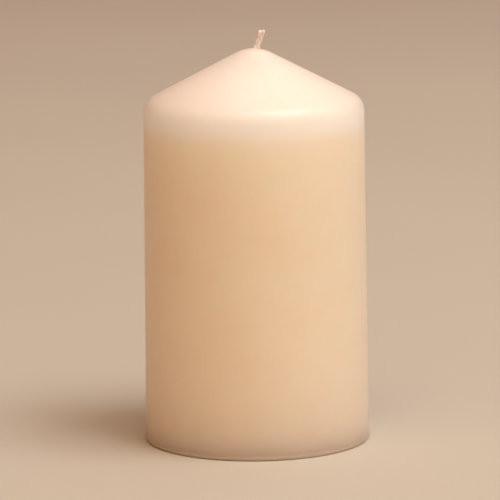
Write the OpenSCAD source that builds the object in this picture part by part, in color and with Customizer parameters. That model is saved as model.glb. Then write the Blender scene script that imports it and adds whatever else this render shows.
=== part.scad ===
// Cast pillar candle: conical top, plaited cotton wick, and a steel wick tab sealed into the base.
// Millimetres, +Z up. The origin is the centre of the foot, on the surface that the candle stands on.

/* [Pillar] */
// Diameter of the tapered side, measured at the foot
body_d = 76; // [70:1:102]
// Height from the foot to the blunt tip, without the wick
body_h = 133; // [110:1:180]
// Lean of the side from upright, in degrees, which lets the cast candle leave its mould
side_draft = 0.47; // [0:0.01:1]
// Slope of the conical top, in degrees from level
cone_slope = 27.4; // [20:0.1:35]
// Radius that rounds the shoulder between the side and the cone
shoulder_r = 6; // [2:0.5:12]
// Radius of the blunt tip
tip_r = 13; // [10:0.5:20]
// Radius of the rolled edge round the foot
foot_edge_r = 1.05; // [0.6:0.05:2]
// How far the rolled edge stands out from the side
foot_lip = 0.2; // [0:0.05:0.4]

/* [Base] */
// Width of the flat ring that touches the table
foot_ring_w = 4; // [2:0.5:8]
// Height of the shallow dish inside the foot ring
dish_h = 0.8; // [0.4:0.1:2]
// Diameter of the second pour where it meets the dish
fill_d = 32; // [28:1:44]
// Height of the second pour, up the pin hole
fill_h = 24; // [16:1:40]

/* [Wick] */
// Width of the plait across its flat side
plait_w = 2.26; // [2.14:0.02:2.34]
// Thickness of the plait
plait_t = 1.7; // [1.66:0.01:1.74]
// Diameter of each strand
strand_d = 0.72; // [0.6:0.02:0.72]
// Length in which a strand crosses the plait and comes back
plait_pitch = 8; // [6:0.5:12]
// Diameter of the pin hole that the wick runs through
pin_hole_d = 2.6; // [2.5:0.1:3]
// Height of the wick above the tip
stub_h = 6.5; // [4:0.5:12]
// Lean of the free wick from upright, in degrees, towards +X
stub_lean = 18.5; // [0:0.5:20]

/* [Wick tab] */
// Diameter of the tab's disc
tab_d = 20; // [15:0.5:20]
// Thickness of the tab's sheet steel
tab_sheet = 0.3; // [0.2:0.05:0.35]
// Height of the neck above the disc
tab_neck_h = 5; // [3:0.5:8]
// Width of the sealing ring that shows round the disc
seal_ring_w = 1.5; // [0.8:0.1:2]

/* [Hidden] */

WAX = "#EBD8B4";
SECOND_POUR = "#E6D2AC";
COTTON = "#E9D6BE";
TIN_PLATE = "#B9BCC0";
HOT_MELT = "#DCCFAE";

$fn = 96;

// Pillar
body_r = body_d / 2;
foot_r = body_r + foot_lip - foot_edge_r;
foot_ring_inner_r = foot_r - foot_ring_w;
dish_slope_run = 3;
dish_r = foot_ring_inner_r - dish_slope_run;
fill_r = fill_d / 2;
side_normal = [cos(side_draft), sin(side_draft)];
cone_normal = [sin(cone_slope), cos(cone_slope)];
tip_centre = [0, body_h - tip_r];
side_reach = side_normal * [body_r, 0];
cone_reach = cone_normal * (tip_centre + tip_r * cone_normal);
shoulder_centre = inset_corner(shoulder_r);
foot_centre = [foot_r, foot_edge_r];
foot_top_angle = side_draft + acos(min(1, (side_reach - side_normal * foot_centre) / foot_edge_r));

// Pin hole and the pocket round the wick at the tip
pin_hole_r = pin_hole_d / 2;
pocket_depth = 5;
pocket_root_r = 2.2;
pocket_mouth_r = 3;
pocket_z = body_h - pocket_depth;
pocket_edge_angle = acos(pocket_mouth_r / tip_r);
fill_top_z = dish_h + fill_h;

// Wick
strand_r = strand_d / 2;
swing_w = plait_w / 2 - strand_r;
swing_t = plait_t / 2 - strand_r;
strand_sides = 8;
rings_per_pitch = 12;
bend_r = 12;
bend_length = bend_r * stub_lean * PI / 180;
bend_end = [bend_r * (1 - cos(stub_lean)), 0, pocket_z + bend_r * sin(stub_lean)];
wick_z = dish_h + 0.1;
bend_start = pocket_z - wick_z;
wick_length = bend_start + bend_length + (body_h + stub_h - bend_end[2]) / cos(stub_lean);
ring_count = ceil(wick_length / plait_pitch * rings_per_pitch);
strand_spacing = 360 / 3;
first_strand_angle = 250;

// Way out for the leaning wick through the tip seal
passage_r = plait_w / 2 + 0.32;
passage_reach = 12;
exit_x = bend_end[0] + (body_h - bend_end[2]) * tan(stub_lean);
passage_lean = atan(exit_x / pocket_depth);

// Wick tab and its seal
tab_r = tab_d / 2;
tab_z = dish_h + 0.05;
tab_top_z = tab_z + tab_sheet;
neck_inner_r = plait_w / 2 + 0.1;
neck_outer_r = neck_inner_r + tab_sheet;
neck_bend_r = 0.5;
neck_bend_centre = [neck_outer_r + neck_bend_r, tab_top_z + neck_bend_r];
neck_top_z = tab_top_z + tab_neck_h;
neck_recess_r = neck_outer_r + 0.15;
neck_recess_z = neck_top_z + 0.3;
seal_bed = 0.25;
seal_z = tab_top_z + seal_bed;
seal_r = tab_r + seal_ring_w;
seal_hole_r = neck_bend_centre[0] + 0.15;
tab_edge_gap = 0.03;

// Centre of a radius that touches both the side and the cone from inside
function inset_corner(radius) =
    let (
        side = side_reach - radius,
        cone = cone_reach - radius,
        det = cross(side_normal, cone_normal)
    )
    [side * cone_normal[1] - cone * side_normal[1], cone * side_normal[0] - side * cone_normal[0]] / det;

// Points of an arc from one angle to another
function arc(centre, radius, from, to, steps) =
    [for (i = [0:steps]) let (a = from + (to - from) * i / steps) centre + radius * [cos(a), sin(a)]];

// Trumpet-shaped wall of the well, from the dish up to the pin hole
function well_wall(steps) =
    [for (i = [0:steps]) let (rise = i / steps)
        [pin_hole_r + (fill_r - pin_hole_r) * pow(1 - rise, 2), dish_h + fill_h * rise]];

function reversed(points) = [for (i = [len(points) - 1:-1:0]) points[i]];

// Centre line of the wick at a distance s along it: straight up, round the bend, then leaning
function lean_at(s) = min(stub_lean, max(0, (s - bend_start) / bend_r * 180 / PI));
function wick_point(s) =
    s < bend_start ? [0, 0, wick_z + s]
    : s < bend_start + bend_length
        ? [bend_r * (1 - cos(lean_at(s))), 0, pocket_z + bend_r * sin(lean_at(s))]
        : bend_end + (s - bend_start - bend_length) * [sin(stub_lean), 0, cos(stub_lean)];

// One ring of a strand, square to the centre line; the strand swings across the plait as it climbs
function strand_ring(s, start_angle) =
    let (
        turn = start_angle + 360 * s / plait_pitch,
        across = [cos(lean_at(s)), 0, -sin(lean_at(s))],
        through = [0, 1, 0],
        centre = wick_point(s) + swing_w * sin(turn) * across + swing_t * sin(2 * turn) * through
    )
    [for (i = [0:strand_sides - 1]) let (a = 360 * (i + 0.5) / strand_sides)
        centre + strand_r * (cos(a) * across + sin(a) * through)];

module wick_strand(index) {
    start_angle = first_strand_angle + strand_spacing * index;
    points = [for (k = [0:ring_count]) each strand_ring(wick_length * k / ring_count, start_angle)];
    last = ring_count * strand_sides;
    walls = [for (k = [0:ring_count - 1]) for (i = [0:strand_sides - 1])
        let (low = k * strand_sides, high = low + strand_sides, next = (i + 1) % strand_sides)
        each [[low + i, high + i, high + next], [low + i, high + next, low + next]]];
    ends = [[for (i = [0:strand_sides - 1]) i], [for (i = [strand_sides - 1:-1:0]) last + i]];
    color(COTTON)
    polyhedron(points, concat(walls, ends));
}

// First pour: foot ring, rolled edge, drafted side, shoulder, cone, tip, pin hole, well and dish
module wax_body() {
    outside = concat(
        [[foot_ring_inner_r, 0]],
        arc(foot_centre, foot_edge_r, -90, foot_top_angle, 8),
        arc(shoulder_centre, shoulder_r, side_draft, 90 - cone_slope, 14),
        arc(tip_centre, tip_r, 90 - cone_slope, pocket_edge_angle, 8)
    );
    inside = concat(
        [[pocket_root_r, pocket_z], [pin_hole_r, pocket_z]],
        reversed(well_wall(12)),
        [[dish_r, dish_h]]
    );
    color(WAX)
    rotate_extrude()
        polygon(concat(outside, inside));
}

// Second pour: fills the well, with the pin hole, the neck's recess and the seal's seat
module base_fill() {
    color(SECOND_POUR)
    rotate_extrude()
        polygon(concat(
            well_wall(12),
            [[pin_hole_r, neck_recess_z],
             [neck_recess_r, neck_recess_z],
             [neck_recess_r, seal_z],
             [seal_r, seal_z],
             [seal_r, dish_h]]
        ));
}

// Plug that closes the pin hole round the wick; its top carries on the blunt tip
module tip_seal() {
    color(WAX)
    difference() {
        rotate_extrude()
            polygon(concat(
                [[0, pocket_z], [pocket_root_r, pocket_z]],
                arc(tip_centre, tip_r, pocket_edge_angle, 90, 4)
            ));
        translate([0, 0, pocket_z])
            rotate([0, passage_lean, 0])
                cylinder(r = passage_r, h = passage_reach, center = true);
    }
}

// Stamped tab: a disc with a neck drawn up out of it, which grips the wick
module wick_sustainer() {
    color(TIN_PLATE)
    rotate_extrude()
        polygon(concat(
            [[tab_r, tab_z], [tab_r, tab_top_z]],
            arc(neck_bend_centre, neck_bend_r, 270, 180, 6),
            [[neck_outer_r, neck_top_z], [neck_inner_r, neck_top_z]],
            arc(neck_bend_centre, neck_bend_r + tab_sheet, 180, 270, 6)
        ));
}

// Bed of hot melt above the disc, squeezed out into a ring round its edge
module sustainer_seal() {
    color(HOT_MELT)
    rotate_extrude()
        polygon([
            [seal_hole_r, tab_top_z],
            [tab_r + tab_edge_gap, tab_top_z],
            [tab_r + tab_edge_gap, dish_h],
            [seal_r, dish_h],
            [seal_r, seal_z],
            [seal_hole_r, seal_z]
        ]);
}

wax_body();
base_fill();
tip_seal();
wick_strand(0);  // wick_strand_a
wick_strand(1);  // wick_strand_b
wick_strand(2);  // wick_strand_c
wick_sustainer();
sustainer_seal();
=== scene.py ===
"""A cast ivory pillar candle with a conical top: the looks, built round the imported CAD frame.

Metres, in the frame's axes: +Z up, the foot's centre at the origin, the free wick leaning towards +X,
and -Y facing the camera. Lengths written as N * MM are the design's own sizes.
"""

import math

import bpy
import numpy as np
from mathutils import Matrix, Vector, noise

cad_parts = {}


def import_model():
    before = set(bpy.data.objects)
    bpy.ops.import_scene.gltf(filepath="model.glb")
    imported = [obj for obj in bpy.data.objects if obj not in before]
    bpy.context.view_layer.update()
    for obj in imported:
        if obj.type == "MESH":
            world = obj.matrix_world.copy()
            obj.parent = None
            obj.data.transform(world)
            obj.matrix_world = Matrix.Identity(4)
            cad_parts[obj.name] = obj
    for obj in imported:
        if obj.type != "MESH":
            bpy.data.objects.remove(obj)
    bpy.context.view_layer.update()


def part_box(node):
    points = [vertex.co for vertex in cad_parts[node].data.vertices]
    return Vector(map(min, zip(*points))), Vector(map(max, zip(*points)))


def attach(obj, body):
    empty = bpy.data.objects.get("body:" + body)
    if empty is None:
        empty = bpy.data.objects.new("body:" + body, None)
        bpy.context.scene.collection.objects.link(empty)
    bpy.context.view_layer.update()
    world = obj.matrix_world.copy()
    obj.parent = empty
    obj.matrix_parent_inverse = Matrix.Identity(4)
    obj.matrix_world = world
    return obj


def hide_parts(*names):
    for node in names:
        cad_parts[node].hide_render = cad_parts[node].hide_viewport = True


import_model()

MM = 0.001
SEED = 7

# ---------------------------------------------------------------- sizes from the CAD frame

body_low, body_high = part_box("wax_body")
seal_low, seal_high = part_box("tip_seal")
fill_low, fill_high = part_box("base_fill")
tab_low, tab_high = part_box("wick_sustainer")
melt_low, melt_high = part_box("sustainer_seal")
strand_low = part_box("wick_strand_a")[0]

TIP_Z = 133 * MM
FOOT_LIP = 0.2 * MM
FOOT_EDGE_R = 1.05 * MM
SIDE_R = body_high.x - FOOT_LIP
SIDE_DRAFT = math.radians(0.47)
CONE_SLOPE = math.radians(27.4)
SHOULDER_R = 6 * MM
TIP_R = 13 * MM

FOOT_RING_W = 4 * MM
DISH_RUN = 3 * MM
DISH_Z = fill_low.z
FILL_R = fill_high.x
FILL_TOP = fill_high.z
POCKET_Z = seal_low.z
POCKET_ROOT_R = 2.2 * MM
POCKET_MOUTH_R = seal_high.x
PIN_HOLE_R = 1.3 * MM

WICK_Z = strand_low.z
STRAND_R = 0.36 * MM
SWING_W = 0.77 * MM
SWING_T = 0.49 * MM
PITCH = 8 * MM
BEND_R = 12 * MM
STUB_H = 6.5 * MM
STUB_LEAN = math.radians(18.5)
FIRST_STRAND_TURN = math.radians(250)

TAB_R = tab_high.x
TAB_Z = tab_low.z
TAB_SHEET = 0.3 * MM
NECK_TOP = tab_high.z
NECK_INNER_R = 1.23 * MM
NECK_BEND_R = 0.5 * MM

MELT_R = melt_high.x
MELT_TOP = melt_high.z


# ---------------------------------------------------------------- mesh helpers

SHARP_ANGLE = math.radians(50)


def mesh_object(name, vertices, faces, material, smooth=True):
    mesh = bpy.data.meshes.new(name)
    mesh.from_pydata([tuple(v) for v in vertices], [], faces)
    mesh.validate()
    mesh.polygons.foreach_set("use_smooth", [smooth] * len(mesh.polygons))
    mesh.materials.append(material)
    mesh.update()
    if smooth:
        mesh.set_sharp_from_angle(angle=SHARP_ANGLE)
    piece = bpy.data.objects.new(name, mesh)
    bpy.context.scene.collection.objects.link(piece)
    return piece


def tube_faces(rings, columns, closed):
    """Quads between consecutive rings; a closed loop of rings joins the last to the first."""
    faces = []
    for k in range(rings if closed else rings - 1):
        low = k * columns
        high = (k + 1) % rings * columns
        for i in range(columns):
            j = (i + 1) % columns
            faces.append((low + i, low + j, high + j, high + i))
    return faces


def ring_loop(name, rings, material):
    """A closed solid with a hole through it: each ring of points joins the next, and the last the first."""
    columns = len(rings[0])
    vertices = np.concatenate(rings)
    return mesh_object(name, vertices, tube_faces(len(rings), columns, True), material)


def arc(centre, radius, start, end, steps):
    """Points of an arc in the (r, z) plane, with angles in radians from the r axis."""
    return [
        (centre[0] + radius * math.cos(start + (end - start) * i / steps),
         centre[1] + radius * math.sin(start + (end - start) * i / steps))
        for i in range(steps + 1)
    ]


def spread(points, spacing):
    """The same outline with extra points along its straight stretches, no further apart than spacing."""
    out = [points[0]]
    for a, b in zip(points, points[1:]):
        steps = max(1, math.ceil(math.dist(a, b) / spacing))
        out += [(a[0] + (b[0] - a[0]) * i / steps, a[1] + (b[1] - a[1]) * i / steps)
                for i in range(1, steps + 1)]
    return out


def around(columns):
    """Evenly spaced angles for the columns of a turned form."""
    return np.arange(columns) * 2 * math.pi / columns


def ease(t):
    """0 up to 0, 1 from 1 on, and a smooth rise between."""
    t = min(1.0, max(0.0, t))
    return t * t * (3 - 2 * t)


# ---------------------------------------------------------------- the pillar's outline

side_normal = (math.cos(SIDE_DRAFT), math.sin(SIDE_DRAFT))
cone_normal = (math.sin(CONE_SLOPE), math.cos(CONE_SLOPE))
tip_centre = (0.0, TIP_Z - TIP_R)
foot_centre = (SIDE_R + FOOT_LIP - FOOT_EDGE_R, FOOT_EDGE_R)
side_reach = side_normal[0] * SIDE_R
cone_reach = cone_normal[1] * tip_centre[1] + TIP_R


def inset_corner(radius):
    """Centre of a radius that touches both the side and the cone from inside."""
    side = side_reach - radius
    cone = cone_reach - radius
    det = side_normal[0] * cone_normal[1] - side_normal[1] * cone_normal[0]
    return ((side * cone_normal[1] - cone * side_normal[1]) / det,
            (cone * side_normal[0] - side * cone_normal[0]) / det)


def foot_top_angle():
    reach = side_normal[0] * foot_centre[0] + side_normal[1] * foot_centre[1]
    return SIDE_DRAFT + math.acos(min(1, (side_reach - reach) / FOOT_EDGE_R))


def well_wall(steps):
    """Trumpet-shaped wall of the shrinkage well, from the dish up to the pin hole."""
    return [(PIN_HOLE_R + (FILL_R - PIN_HOLE_R) * (1 - i / steps) ** 2,
             DISH_Z + (FILL_TOP - DISH_Z) * i / steps) for i in range(steps + 1)]


def tip_height(r):
    return tip_centre[1] + math.sqrt(TIP_R ** 2 - r ** 2)


# ---------------------------------------------------------------- materials

def new_material(name):
    material = bpy.data.materials.new(name)
    material.use_nodes = True
    tree = material.node_tree
    shader = tree.nodes["Principled BSDF"]
    return material, tree, shader


def node(tree, kind, **settings):
    made = tree.nodes.new(kind)
    for key, value in settings.items():
        setattr(made, key, value)
    return made


def noise_at(tree, scale, detail=3.0, roughness=0.5, stretch=(1, 1, 1)):
    """Noise in object space, in metres; scale is features per metre, stretch squeezes it along an axis."""
    place = node(tree, "ShaderNodeTexCoord")
    mapping = node(tree, "ShaderNodeMapping")
    mapping.inputs["Scale"].default_value = stretch
    texture = node(tree, "ShaderNodeTexNoise")
    texture.inputs["Scale"].default_value = scale
    texture.inputs["Detail"].default_value = detail
    texture.inputs["Roughness"].default_value = roughness
    tree.links.new(place.outputs["Object"], mapping.inputs["Vector"])
    tree.links.new(mapping.outputs["Vector"], texture.inputs["Vector"])
    return texture.outputs["Fac"]


def ramp(tree, source, stops):
    made = node(tree, "ShaderNodeValToRGB")
    elements = made.color_ramp.elements
    while len(elements) < len(stops):
        elements.new(0.5)
    for element, (position, colour) in zip(elements, stops):
        element.position = position
        element.color = (*colour, 1)
    tree.links.new(source, made.inputs["Fac"])
    return made.outputs["Color"]


def mix_colours(tree, factor, a, b):
    """From colour a to colour b. The node's sockets 0, 6 and 7 are its factor and its two colours."""
    made = node(tree, "ShaderNodeMix", data_type="RGBA")
    for socket, value in ((0, factor), (6, a), (7, b)):
        if isinstance(value, bpy.types.NodeSocket):
            tree.links.new(value, made.inputs[socket])
        else:
            made.inputs[socket].default_value = value if socket == 0 else (*value, 1)
    return made.outputs[2]


def map_range(tree, source, low, high):
    """A value from 0 to 1 stretched to run from low to high."""
    made = node(tree, "ShaderNodeMapRange")
    made.inputs["To Min"].default_value = low
    made.inputs["To Max"].default_value = high
    tree.links.new(source, made.inputs["Value"])
    return made.outputs["Result"]


def bump(tree, height, distance, under=None):
    made = node(tree, "ShaderNodeBump")
    made.inputs["Distance"].default_value = distance
    tree.links.new(height, made.inputs["Height"])
    if under is not None:
        tree.links.new(under, made.inputs["Normal"])
    return made.outputs["Normal"]


def wax(name, pale, deep, radius, gloss=(0.48, 0.62)):
    """Translucent cast wax: faint mottling, faint upright streaks from the mould, soft orange peel.

    radius is the glow's depth in red, green and blue, and gloss the range of its roughness.
    """
    material, tree, shader = new_material(name)
    mottle = noise_at(tree, 70, 4, 0.55)
    streaks = noise_at(tree, 260, 2, 0.5, (1, 1, 0.06))
    tone = ramp(tree, mottle, ((0.32, deep), (0.68, pale)))
    streaked = mix_colours(tree, map_range(tree, streaks, 0.0, 0.16), tone, pale)
    tree.links.new(streaked, shader.inputs["Base Color"])
    tree.links.new(map_range(tree, noise_at(tree, 180, 4, 0.6), *gloss), shader.inputs["Roughness"])
    fine = bump(tree, noise_at(tree, 1400, 3, 0.55), 0.02 * MM)
    upright = bump(tree, noise_at(tree, 420, 2, 0.5, (1, 1, 0.05)), 0.03 * MM, under=fine)
    soft = bump(tree, noise_at(tree, 220, 2, 0.5), 0.05 * MM, under=upright)
    tree.links.new(soft, shader.inputs["Normal"])
    shader.inputs["Subsurface Weight"].default_value = 1.0
    shader.inputs["Subsurface Radius"].default_value = radius
    shader.inputs["Subsurface Scale"].default_value = 1.0
    shader.inputs["Subsurface Anisotropy"].default_value = 0.0
    shader.inputs["IOR"].default_value = 1.46
    shader.inputs["Coat Weight"].default_value = 0.5
    shader.inputs["Coat Roughness"].default_value = 0.3
    return material


def object_height(tree):
    """Height above the foot: every piece is built in the candle's own axes."""
    place = node(tree, "ShaderNodeTexCoord")
    split = node(tree, "ShaderNodeSeparateXYZ")
    tree.links.new(place.outputs["Object"], split.inputs["Vector"])
    return split.outputs["Z"]


def smooth_step(tree, source, start, end, low=0.0, high=1.0):
    """low up to start, high from end on, and a smooth change between."""
    made = node(tree, "ShaderNodeMapRange", interpolation_type="SMOOTHSTEP")
    for socket, value in (("From Min", start), ("From Max", end), ("To Min", low), ("To Max", high)):
        made.inputs[socket].default_value = value
    tree.links.new(source, made.inputs["Value"])
    return made.outputs["Result"]


# Distance from the tip, and height above the foot, over which the glow deepens from a share to its full depth
TIP_GLOW_FROM = 3.5 * MM
TIP_GLOW_FULL = 13 * MM
TIP_GLOW_SHARE = 0.03
FOOT_GLOW_FROM = 0.3 * MM
FOOT_GLOW_FULL = 3.0 * MM
FOOT_GLOW_SHARE = 0.3


def shallow_glow_at_ends(material):
    """Light stays near the surface round the wick, where the seal blocks it, and in the foot's thin bead."""
    tree = material.node_tree
    place = node(tree, "ShaderNodeTexCoord")
    reach = node(tree, "ShaderNodeVectorMath", operation="DISTANCE")
    reach.inputs[1].default_value = (0, 0, TIP_Z)
    tree.links.new(place.outputs["Object"], reach.inputs[0])
    near_tip = smooth_step(tree, reach.outputs["Value"], TIP_GLOW_FROM, TIP_GLOW_FULL, TIP_GLOW_SHARE)
    near_foot = smooth_step(tree, object_height(tree), FOOT_GLOW_FROM, FOOT_GLOW_FULL, FOOT_GLOW_SHARE)
    both = node(tree, "ShaderNodeMath", operation="MULTIPLY")
    tree.links.new(near_tip, both.inputs[0])
    tree.links.new(near_foot, both.inputs[1])
    tree.links.new(both.outputs["Value"], tree.nodes["Principled BSDF"].inputs["Subsurface Scale"])


# Heights where the crown's painted highlight begins and is full, and where it turns from the shoulder's colour
# to the cone's
SHEEN_PAINT_FROM = 103 * MM
SHEEN_PAINT_FULL = 111 * MM
CONE_FROM = 112 * MM
CONE_FULL = 118 * MM


def paint_crown_sheen(material, cone, shoulder):
    """Painted highlight: the cone is painted a little paler and whiter than the side, and the shoulder between
    them paler still, for the sheen of the light from above.
    """
    tree = material.node_tree
    shader = tree.nodes["Principled BSDF"]
    side = shader.inputs["Base Color"].links[0].from_socket
    height = object_height(tree)
    crown = mix_colours(tree, smooth_step(tree, height, CONE_FROM, CONE_FULL), shoulder, cone)
    painted_sheen = smooth_step(tree, height, SHEEN_PAINT_FROM, SHEEN_PAINT_FULL)
    tree.links.new(mix_colours(tree, painted_sheen, side, crown), shader.inputs["Base Color"])


PALE_COTTON = (0.96, 0.92, 0.95)
ROOT_PALE_TO = TIP_Z + 1.6 * MM
ROOT_FADED_AT = TIP_Z + 3.2 * MM
CUT_PALE_FROM = TIP_Z + 4.8 * MM
CUT_PALE_AT = TIP_Z + 5.8 * MM


def cotton(name):
    """Wax-primed cotton yarn: warm off-white, darker between the fibres (partly the yarn's own tone, partly
    painted shade in the grooves), paler at its cut and its root.
    """
    material, tree, shader = new_material(name)
    fibres = noise_at(tree, 9000, 3, 0.6, (1, 1, 0.15))
    patches = noise_at(tree, 900, 2, 0.5)
    # The noise that sinks the bump also darkens the colour there: painted shade in the grooves between the
    # fibres, over the yarn's own tone
    tone = ramp(tree, fibres, ((0.3, (0.88, 0.75, 0.71)), (0.7, (0.93, 0.83, 0.80))))
    warm = mix_colours(tree, map_range(tree, patches, 0.0, 0.5), tone, (0.95, 0.87, 0.84))
    height = object_height(tree)
    root = smooth_step(tree, height, ROOT_PALE_TO, ROOT_FADED_AT, 0.75, 0.0)
    cut = smooth_step(tree, height, CUT_PALE_FROM, CUT_PALE_AT, 0.0, 0.85)
    lower = mix_colours(tree, root, warm, PALE_COTTON)
    tree.links.new(mix_colours(tree, cut, lower, PALE_COTTON), shader.inputs["Base Color"])
    tree.links.new(map_range(tree, patches, 0.45, 0.7), shader.inputs["Roughness"])
    tree.links.new(bump(tree, fibres, 0.03 * MM), shader.inputs["Normal"])
    shader.inputs["Subsurface Weight"].default_value = 1.0
    shader.inputs["Subsurface Radius"].default_value = (0.5 * MM, 0.45 * MM, 0.4 * MM)
    shader.inputs["Subsurface Scale"].default_value = 1.0
    return material


def tin_plate(name):
    """Stamped tin plate: rolling marks across the sheet and faint smears of wax."""
    material, tree, shader = new_material(name)
    marks = noise_at(tree, 1500, 3, 0.6, (0.04, 1, 1))
    smears = noise_at(tree, 260, 4, 0.6)
    tone = ramp(tree, marks, ((0.3, (0.52, 0.53, 0.55)), (0.7, (0.72, 0.72, 0.73))))
    tree.links.new(tone, shader.inputs["Base Color"])
    tree.links.new(map_range(tree, smears, 0.22, 0.5), shader.inputs["Roughness"])
    tree.links.new(bump(tree, marks, 0.01 * MM), shader.inputs["Normal"])
    shader.inputs["Metallic"].default_value = 1.0
    return material


IVORY = wax("cast_wax", (0.93, 0.825, 0.69), (0.91, 0.795, 0.65), (34 * MM, 46 * MM, 52 * MM))
SECOND_POUR = wax("poured_wax", (0.92, 0.81, 0.67), (0.89, 0.77, 0.62), (1.6 * MM, 1.5 * MM, 1.3 * MM))
# The seal's whiter tone matches the painted highlight on the cone round it
TIP_WAX = wax("seal_wax", (0.93, 0.825, 0.78), (0.92, 0.81, 0.76), (1.0 * MM, 1.4 * MM, 1.5 * MM))
shallow_glow_at_ends(IVORY)
# Painted highlight: the crown's paler, whiter base colours stand for the lamps' sheen on the shoulder and cone
paint_crown_sheen(IVORY, cone=(0.935, 0.835, 0.79), shoulder=(0.945, 0.87, 0.83))
HOT_MELT = wax(
    "glue_wax", (0.88, 0.82, 0.70), (0.80, 0.74, 0.62), (0.9 * MM, 0.9 * MM, 0.8 * MM), gloss=(0.15, 0.3))
COTTON = cotton("braid_cotton")
TIN_PLATE = tin_plate("stamped_tin")


# ---------------------------------------------------------------- the wax body

BODY_COLUMNS = 256
FOOT_STEPS = 12
SHOULDER_STEPS = 20
TIP_STEPS = 8
OUTSIDE_SPACING = 0.9 * MM
RELIEF_FADE_FOOT = 12
RELIEF_FADE_TIP = 6

WAVE_RELIEF = 0.05 * MM
WAVES_PER_M = 38
STREAK_RELIEF = 0.016 * MM
STREAKS_AROUND = 9
STREAKS_UP = 12
GRAIN_RELIEF = 0.006 * MM
GRAINS_PER_M = 240

# Small lumps of wax on the +X side: height up the candle, how proud, and how far up and down each reaches
NUBS = ((3.1 * MM, 0.20 * MM, 1.5 * MM), (50.5 * MM, 0.12 * MM, 0.9 * MM))


def nub_rise(point):
    """How far the lumps lift the side there. They lie round the +X direction, twice as wide as high."""
    rise = 0.0
    for height, proud, reach in NUBS:
        away = math.hypot(point[1] / (2 * reach), (point[2] - height) / reach)
        if point[0] > 0 and away < 1:
            rise += proud * ease(1 - away ** 2)
    return rise


def surface_relief(point, angle):
    """How far the cast surface stands off the true outline: slow waves, upright streaks, grain, lumps."""
    p = Vector(point)
    upright = Vector((math.cos(angle) * STREAKS_AROUND, math.sin(angle) * STREAKS_AROUND, p.z * STREAKS_UP))
    wave = WAVE_RELIEF * noise.noise(p * WAVES_PER_M)
    streak = STREAK_RELIEF * noise.noise(upright)
    grain = GRAIN_RELIEF * noise.noise(p * GRAINS_PER_M)
    return wave + streak + grain + nub_rise(point)


def wax_body():
    foot_top = foot_top_angle()
    outside = spread(
        arc(foot_centre, FOOT_EDGE_R, -math.pi / 2, foot_top, FOOT_STEPS)
        + arc(inset_corner(SHOULDER_R), SHOULDER_R, SIDE_DRAFT, math.pi / 2 - CONE_SLOPE, SHOULDER_STEPS)
        + arc(tip_centre, TIP_R, math.pi / 2 - CONE_SLOPE, math.acos(POCKET_MOUTH_R / TIP_R), TIP_STEPS),
        OUTSIDE_SPACING)
    ring_inner = foot_centre[0] - FOOT_RING_W
    inside = (
        [(POCKET_ROOT_R, POCKET_Z), (PIN_HOLE_R, POCKET_Z)]
        + spread([(PIN_HOLE_R, POCKET_Z), (PIN_HOLE_R, FILL_TOP)], 6 * MM)[1:-1]
        + well_wall(16)[::-1]
        + spread([(FILL_R, DISH_Z), (ring_inner - DISH_RUN, DISH_Z)], 2.5 * MM)[1:]
        + spread([(ring_inner, 0.0), (foot_centre[0], 0.0)], 1 * MM)[:-1]
    )
    outline = outside + inside
    tip_index = len(outside) - 1
    angles = around(BODY_COLUMNS)
    rings = []
    for index, (r, z) in enumerate(outline):
        ring = np.stack([r * np.cos(angles), r * np.sin(angles), np.full(BODY_COLUMNS, z)], axis=1)
        if 0 < index < tip_index:
            before, after = outline[index - 1], outline[index + 1]
            along = Vector((after[0] - before[0], after[1] - before[1])).normalized()
            fade = min(1, index / RELIEF_FADE_FOOT) * min(1, (tip_index - index) / RELIEF_FADE_TIP)
            for i, a in enumerate(angles):
                lift = fade * surface_relief(ring[i], a)
                out = along.y * lift
                ring[i] += (out * math.cos(a), out * math.sin(a), -along.x * lift)
        rings.append(ring)
    return ring_loop("candle_body", rings, IVORY)


# ---------------------------------------------------------------- the wick's centre line

lean_start = POCKET_Z - WICK_Z
bend_length = BEND_R * STUB_LEAN
bend_end = Vector((BEND_R * (1 - math.cos(STUB_LEAN)), 0, POCKET_Z + BEND_R * math.sin(STUB_LEAN)))
wick_length = lean_start + bend_length + (TIP_Z + STUB_H - bend_end.z) / math.cos(STUB_LEAN)


def lean_at(s):
    return min(STUB_LEAN, max(0.0, (s - lean_start) / BEND_R))


def wick_point(s):
    if s < lean_start:
        return Vector((0, 0, WICK_Z + s))
    if s < lean_start + bend_length:
        lean = lean_at(s)
        return Vector((BEND_R * (1 - math.cos(lean)), 0, POCKET_Z + BEND_R * math.sin(lean)))
    return bend_end + (s - lean_start - bend_length) * Vector((math.sin(STUB_LEAN), 0, math.cos(STUB_LEAN)))


def wick_axes(s):
    """Across and through the flat plait, square to its centre line."""
    lean = lean_at(s)
    return Vector((math.cos(lean), 0, -math.sin(lean))), Vector((0, 1, 0))


# ---------------------------------------------------------------- the wick's strands

STRAND_SIDES = 48
HIDDEN_STEP = 0.8 * MM
SHOWN_STEP = 0.07 * MM
SHOWN_FROM = lean_start + 1.5 * MM
ROOT_AT = wick_length - STUB_H / math.cos(STUB_LEAN)
SHOWN_YARNS = 7
YARN_LAY = 3.6 * MM
YARN_RELIEF = 0.032 * MM
YARN_LEVEL = 0.7
FUZZ_RELIEF = 0.02 * MM
FUZZ_PER_M = 2600
WAXED_HALF_WIDTH = 0.58 * MM
WAXED_HALF_THICK = 0.54 * MM
FREE_SWING_T = 0.16 * MM
FATTEN_BELOW_ROOT = 1.6 * MM
FATTEN_RUN = 1.3 * MM
EDGE_HOLD = 2.0
CUT_ROUNDING = 0.34 * MM
CUT_BLUNTNESS = 0.7
CUT_STEPS = 7
SEED_STEP = 2.3
# Length of wick above the tip, and how far the strands swing there: pinched above the root, splayed at the cut
FREE_SWING = (
    (0.0, 0.60 * MM),
    (1.5 * MM, 0.41 * MM),
    (3.2 * MM, 0.46 * MM),
    (5.4 * MM, 0.58 * MM),
    (7.0 * MM, 0.56 * MM),
)


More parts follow.
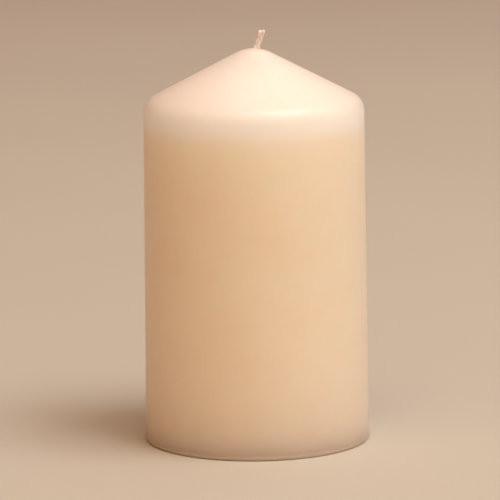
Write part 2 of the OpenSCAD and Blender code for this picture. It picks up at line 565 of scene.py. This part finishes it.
def free_swing(s):
    up = s - ROOT_AT
    for (low, a), (high, b) in zip(FREE_SWING, FREE_SWING[1:]):
        if up < high:
            return a + (b - a) * ease((up - low) / (high - low))
    return FREE_SWING[-1][1]


def waxed(s):
    """0 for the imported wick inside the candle, 1 for the free stub, fattened by the wax that primes it."""
    return ease((s - ROOT_AT + FATTEN_BELOW_ROOT) / FATTEN_RUN)


def strand_centre(s, turn):
    """Centre line of one strand of the plait; the free strands dwell at the plait's edges."""
    across, through = wick_axes(s)
    swing = turn + 2 * math.pi * s / PITCH
    fat = waxed(s)
    width = SWING_W + (free_swing(s) - SWING_W) * fat
    depth = SWING_T + (FREE_SWING_T - SWING_T) * fat
    held = math.tanh(EDGE_HOLD * math.sin(swing)) / math.tanh(EDGE_HOLD)
    sideways = math.sin(swing) + (held - math.sin(swing)) * fat
    return wick_point(s) + width * sideways * across + depth * math.sin(2 * swing) * through


def strand_frame(s, turn):
    """Centre, side and front directions of a strand's own cross-section."""
    step = 0.05 * MM
    along = (strand_centre(s + step, turn) - strand_centre(s - step, turn)).normalized()
    side = Vector((0, 1, 0)).cross(along).normalized()
    return strand_centre(s, turn), along, side, along.cross(side)


def strand_ring(s, turn, seed, shrink=1.0, advance=0.0):
    """One cross-section, with its yarns' ridges; shrink and advance round off the cut end."""
    centre, along, side, front = strand_frame(s, turn)
    fat = waxed(s)
    half_width = STRAND_R + (WAXED_HALF_WIDTH - STRAND_R) * fat
    half_thick = STRAND_R + (WAXED_HALF_THICK - STRAND_R) * fat
    centre = centre + along * advance
    ring = []
    for i in range(STRAND_SIDES):
        a = 2 * math.pi * i / STRAND_SIDES
        yarn = abs(math.cos(SHOWN_YARNS / 2 * (a - 2 * math.pi * s / YARN_LAY) + seed))
        point = centre + shrink * (half_width * math.cos(a) * side + half_thick * math.sin(a) * front)
        fuzz = FUZZ_RELIEF * noise.noise(point * FUZZ_PER_M + Vector((seed, 0, 0))) * fat
        lift = YARN_RELIEF * (yarn - YARN_LEVEL) + fuzz
        ring.append(point + shrink * lift * (math.cos(a) * side + math.sin(a) * front))
    return ring


def wick_strand(name, index, length):
    turn = FIRST_STRAND_TURN + index * 2 * math.pi / 3
    seed = SEED + SEED_STEP * index
    top = length - CUT_ROUNDING
    stations = np.concatenate([
        np.arange(0, SHOWN_FROM, HIDDEN_STEP),
        np.linspace(SHOWN_FROM, top, math.ceil((top - SHOWN_FROM) / SHOWN_STEP) + 1)]).tolist()
    rings = [strand_ring(s, turn, seed) for s in stations]
    for k in range(1, CUT_STEPS):
        a = math.pi / 2 * k / CUT_STEPS
        rings.append(strand_ring(top, turn, seed, math.cos(a) ** CUT_BLUNTNESS, CUT_ROUNDING * math.sin(a)))
    vertices = [point for ring in rings for point in ring]
    faces = tube_faces(len(rings), STRAND_SIDES, False)
    last = len(vertices) - STRAND_SIDES
    faces.append(tuple(range(STRAND_SIDES - 1, -1, -1)))
    faces.append(tuple(range(last, last + STRAND_SIDES)))
    return mesh_object(name, vertices, faces, COTTON)


# ---------------------------------------------------------------- the tip seal

SEAL_COLUMNS = 128
SEAL_GAP = 0.015 * MM
SEAL_RIM_DROP = 0.25 * MM
SEAL_PASSAGE_R = 1.3 * MM
SEAL_PASSAGE_DEPTH = 2.5 * MM
HUG_WIDTH = 0.85 * MM
HUG_THICK = 0.48 * MM
HUG_DEPTH = 0.3 * MM
SEAL_RINGS = 26
MENISCUS = 0.22 * MM
MENISCUS_REACH = 0.15
FEATHER_RUN = 0.5 * MM
FEATHER_RISE = 0.02 * MM
FEATHER_SINK = 0.04 * MM
FEATHER_SLOPE = 0.8 * MM
SEAL_RIPPLE = 0.012 * MM
RIPPLES_PER_M = 1100


def tip_seal():
    """Plug round the leaning wick: it feathers out over the pocket's mouth and draws up at the wick."""
    angles = around(SEAL_COLUMNS)
    exit_x = bend_end.x + (TIP_Z - bend_end.z) * math.tan(STUB_LEAN)
    slant = exit_x / (TIP_Z - POCKET_Z)
    circle = np.stack([np.cos(angles), np.sin(angles), np.zeros(SEAL_COLUMNS)], axis=1)
    hug = circle * (HUG_WIDTH, HUG_THICK, 0)

    def hole(shape, z):
        return shape + (slant * (z - POCKET_Z), 0, z)

    rim = POCKET_MOUTH_R - SEAL_GAP
    outer_r = POCKET_MOUTH_R + FEATHER_RUN
    rings = [hole(circle * SEAL_PASSAGE_R, POCKET_Z),
             circle * (POCKET_ROOT_R - SEAL_GAP) + (0, 0, POCKET_Z),
             circle * rim + (0, 0, tip_height(rim) - SEAL_RIM_DROP)]
    outer = circle * outer_r
    inner = hug + (exit_x, 0, 0)
    for t in np.linspace(0, 1, SEAL_RINGS):
        ring = outer + (inner - outer) * t
        for point in ring:
            r = math.hypot(point[0], point[1])
            rise = MENISCUS * math.exp((t - 1) / MENISCUS_REACH)
            feather = (FEATHER_SINK + FEATHER_RISE) * ease((outer_r - r) / FEATHER_SLOPE) - FEATHER_SINK
            ripple = SEAL_RIPPLE * noise.noise(Vector(point) * RIPPLES_PER_M)
            point[2] = tip_height(r) + rise + feather + ripple * min(1, 3 * t)
        rings.append(ring)
    rings.append(hole(hug * 0.97, TIP_Z - HUG_DEPTH))
    rings.append(hole(circle * SEAL_PASSAGE_R, TIP_Z - SEAL_PASSAGE_DEPTH))
    return ring_loop("tip_wax_seal", rings, TIP_WAX)


# ---------------------------------------------------------------- the base: second pour, tab and hot melt

BASE_COLUMNS = 160
FIT_GAP = 0.015 * MM
NECK_RECESS_R = NECK_INNER_R + TAB_SHEET + 0.15 * MM
NECK_RECESS_Z = NECK_TOP + 0.3 * MM
TAB_TOP = TAB_Z + TAB_SHEET
MELT_HOLE_R = NECK_INNER_R + TAB_SHEET + NECK_BEND_R + 0.15 * MM


def turned(name, outline, material, warp):
    """A closed outline turned about the candle's axis; warp shifts each (r, z) by its place and angle."""
    rings = []
    for r, z in outline:
        shifted = [(*warp(r, z, a), a) for a in around(BASE_COLUMNS)]
        rings.append(np.array([(out * math.cos(a), out * math.sin(a), up) for out, up, a in shifted]))
    return ring_loop(name, rings, material)


POUR_SINK = 0.16 * MM
POUR_RING_RISE = 0.022 * MM
POUR_RING_PITCH = 1.15 * MM
POUR_UNEVEN = 0.03 * MM


def second_pour():
    """Wax that tops up the shrinkage well: its own surface sank again and set in shallow rings."""
    outer = [(max(PIN_HOLE_R, r - FIT_GAP), z) for r, z in well_wall(20)]
    face = spread([(MELT_R, DISH_Z), (FILL_R - FIT_GAP, DISH_Z)], 0.18 * MM)
    recess = [(PIN_HOLE_R, NECK_RECESS_Z), (NECK_RECESS_R, NECK_RECESS_Z), (NECK_RECESS_R, MELT_TOP)]
    outline = recess + [(MELT_R, MELT_TOP)] + face + outer[1:]

    def warp(r, z, a):
        if abs(z - DISH_Z) > 0.001 * MM:
            return r, z
        t = (r - MELT_R) / (FILL_R - FIT_GAP - MELT_R)
        spot = Vector((r * math.cos(a), r * math.sin(a), 0))
        sink = POUR_SINK * math.sin(math.pi * min(1, max(0, t))) ** 0.8
        rings = POUR_RING_RISE * math.sin(2 * math.pi * (r / POUR_RING_PITCH + 0.5 * noise.noise(spot * 160)))
        return r, z + sink + (rings + POUR_UNEVEN * noise.noise(spot * 330)) * math.sin(math.pi * t)

    return turned("second_pour", outline, SECOND_POUR, warp)


CRIMPS = 4
CRIMP_DEPTH = 0.1 * MM
CRIMP_Z = TAB_TOP + 3.1 * MM
CRIMP_HALF_H = 0.9 * MM
BEAD_R = 6.4 * MM
BEAD_HALF_W = 0.7 * MM
BEAD_RISE = 0.14 * MM


def stamped_tab():
    """Tin disc with a pressed ring bead and a drawn neck, crimped on to the wick in four places."""
    edge = 0.1 * MM
    bend_r, bend_z = NECK_INNER_R + TAB_SHEET + NECK_BEND_R, TAB_TOP + NECK_BEND_R
    disc_top = spread([(bend_r, TAB_TOP), (TAB_R - edge, TAB_TOP)], 0.2 * MM)
    disc_under = spread([(TAB_R - edge, TAB_Z), (bend_r, TAB_Z)], 0.2 * MM)
    outline = (
        arc((bend_r, bend_z), NECK_BEND_R, math.pi, 1.5 * math.pi, 6)[:-1]
        + disc_top
        + arc((TAB_R - edge, TAB_TOP - edge), edge, math.pi / 2, 0, 3)[1:]
        + arc((TAB_R - edge, TAB_Z + edge), edge, 0, -math.pi / 2, 3)
        + disc_under[1:-1]
        + arc((bend_r, bend_z), NECK_BEND_R + TAB_SHEET, 1.5 * math.pi, math.pi, 8)
        + spread([(NECK_INNER_R, bend_z), (NECK_INNER_R, NECK_TOP)], 0.3 * MM)[1:]
        + spread([(NECK_INNER_R + TAB_SHEET, NECK_TOP), (NECK_INNER_R + TAB_SHEET, bend_z)], 0.3 * MM)[:-1])

    def warp(r, z, a):
        if r > bend_r:
            off = abs(r - BEAD_R) / BEAD_HALF_W
            return r, z + BEAD_RISE * ease(1 - off)
        pinch = max(0, math.cos(CRIMPS * a)) ** 2 * ease(1 - abs(z - CRIMP_Z) / CRIMP_HALF_H)
        return r - CRIMP_DEPTH * pinch, z

    return turned("stamped_wick_tab", outline, TIN_PLATE, warp)


SQUEEZE_DROP = 0.2 * MM
MELT_BED = 0.16 * MM
MELT_WAVE_OUT = 0.16 * MM
MELT_WAVE_UP = 0.05 * MM


def hot_melt():
    """Bed above the tab and the ring that squeezed out round its edge, a little uneven."""
    inner = TAB_R + 0.03 * MM
    squeezed = [(inner - 0.3 * MM, TAB_Z - 0.03 * MM), (inner, DISH_Z - 0.6 * SQUEEZE_DROP)]
    bulge_r, half = (inner + MELT_R) / 2, (MELT_R - inner) / 2
    squeezed += [(bulge_r - half * math.cos(math.pi * i / 10) * 0.8,
                  DISH_Z - SQUEEZE_DROP * (0.6 + 0.4 * math.sin(math.pi * i / 10))) for i in range(1, 10)]
    squeezed += [(MELT_R + 0.12 * MM, DISH_Z - 0.03 * MM), (MELT_R - FIT_GAP, DISH_Z + 0.05 * MM)]
    outline = (
        [(MELT_HOLE_R, MELT_TOP - FIT_GAP), (MELT_HOLE_R, TAB_TOP + MELT_BED), (inner, TAB_TOP + MELT_BED),
         (inner, TAB_Z)]
        + squeezed + [(MELT_R - FIT_GAP, MELT_TOP - FIT_GAP)])

    def warp(r, z, a):
        if z > DISH_Z + 0.06 * MM or r < inner - 0.4 * MM:
            return r, z
        spot = Vector((math.cos(a) * 3.0, math.sin(a) * 3.0, 0.7))
        wave = noise.noise(spot) + 0.5 * noise.noise(spot * 2.7)
        side = 1 if r > bulge_r else -1
        return r + side * MELT_WAVE_OUT * wave * abs(r - bulge_r) / half, z - MELT_WAVE_UP * wave

    return turned("hot_melt_seal", outline, HOT_MELT, warp)


# ---------------------------------------------------------------- pieces on the frame

CUT_BACK = {"a": 0.8 * MM, "b": 0.2 * MM, "c": 0.6 * MM}


def put_on_frame(piece, cad_node):
    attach(piece, "root")
    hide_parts(cad_node)


put_on_frame(wax_body(), "wax_body")
put_on_frame(tip_seal(), "tip_seal")
put_on_frame(second_pour(), "base_fill")
put_on_frame(stamped_tab(), "wick_sustainer")
put_on_frame(hot_melt(), "sustainer_seal")
for index, (letter, short) in enumerate(CUT_BACK.items()):
    strand = wick_strand(f"cotton_strand_{letter}", index, wick_length - short)
    put_on_frame(strand, f"wick_strand_{letter}")


# ---------------------------------------------------------------- floor, lights and camera

FLOOR_HALF = 14.0


def floor():
    material, tree, shader = new_material("pale_floor")
    tone = ramp(tree, noise_at(tree, 3, 2), ((0.3, (0.53, 0.49, 0.44)), (0.7, (0.55, 0.51, 0.46))))
    tree.links.new(tone, shader.inputs["Base Color"])
    shader.inputs["Roughness"].default_value = 0.7
    corners = [(x * FLOOR_HALF, y * FLOOR_HALF, 0) for x, y in ((-1, -1), (1, -1), (1, 1), (-1, 1))]
    piece = mesh_object("floor", corners, [(0, 1, 2, 3)], material, smooth=False)


LAMP_AIM = Vector((0, 0, 75)) * MM


def area_light(name, azimuth, elevation, distance, size, power, colour):
    """A square soft box that faces the candle's middle. Azimuth 0 is the camera's side, 90 the right.

    Angles are in degrees, distance and size in metres, and power in watts.
    """
    data = bpy.data.lights.new(name, "AREA")
    data.shape = "SQUARE"
    data.size = size
    data.energy = power
    data.color = colour
    lamp = bpy.data.objects.new(name, data)
    bpy.context.scene.collection.objects.link(lamp)
    a, e = math.radians(azimuth), math.radians(elevation)
    back = Vector((math.sin(a) * math.cos(e), -math.cos(a) * math.cos(e), math.sin(e)))
    lamp.location = LAMP_AIM + back * distance
    lamp.rotation_euler = (-back).to_track_quat("-Z", "Y").to_euler()


def world(colour, strength):
    made = bpy.data.worlds.new("studio")
    made.use_nodes = True
    background = made.node_tree.nodes["Background"]
    background.inputs["Color"].default_value = (*colour, 1)
    background.inputs["Strength"].default_value = strength
    bpy.context.scene.world = made


LENS_MM = 252
SENSOR_MM = 36
CAMERA_PITCH = math.radians(9.75)
CAMERA_ROLL = math.radians(-0.69)
CAMERA_AIM = Vector((-1.86, 0, 64.5)) * MM
CAMERA_DISTANCE = 1.184


def camera():
    """The photograph's viewpoint: a long lens looking a little down, turned slightly about its own axis."""
    data = bpy.data.cameras.new("camera")
    data.lens = LENS_MM
    data.sensor_width = SENSOR_MM
    made = bpy.data.objects.new("camera", data)
    bpy.context.scene.collection.objects.link(made)
    back = Vector((0, -math.cos(CAMERA_PITCH), math.sin(CAMERA_PITCH)))
    made.location = CAMERA_AIM + back * CAMERA_DISTANCE
    turn = (-back).to_track_quat("-Z", "Y").to_matrix().to_4x4()
    made.rotation_euler = (turn @ Matrix.Rotation(CAMERA_ROLL, 4, "Z")).to_euler()
    bpy.context.scene.camera = made


floor()
area_light("front", 10, 42, 3.6, 2.4, 16.7, (1.0, 0.79, 0.4))
area_light("key", 50, 40, 3.3, 1.8, 6.8, (1.0, 0.65, 0.45))
area_light("upper_left", -40, 50, 3.6, 2.4, 9.7, (1.0, 0.51, 0.0))
area_light("overhead", 8, 72, 3.6, 2.7, 40.8, (0.98, 1.0, 0.86))
area_light("upper_right", 60, 62, 3.3, 1.8, 61.0, (0.99, 1.0, 0.96))
area_light("rim", 165, 60, 3.3, 2.4, 16.3, (0.91, 1.0, 0.93))
area_light("side", 100, 28, 3.3, 1.8, 5.7, (0.98, 1.0, 0.62))
world((1.0, 0.22, 0.0), 0.232)
camera()
bpy.context.scene.view_settings.view_transform = "Standard"
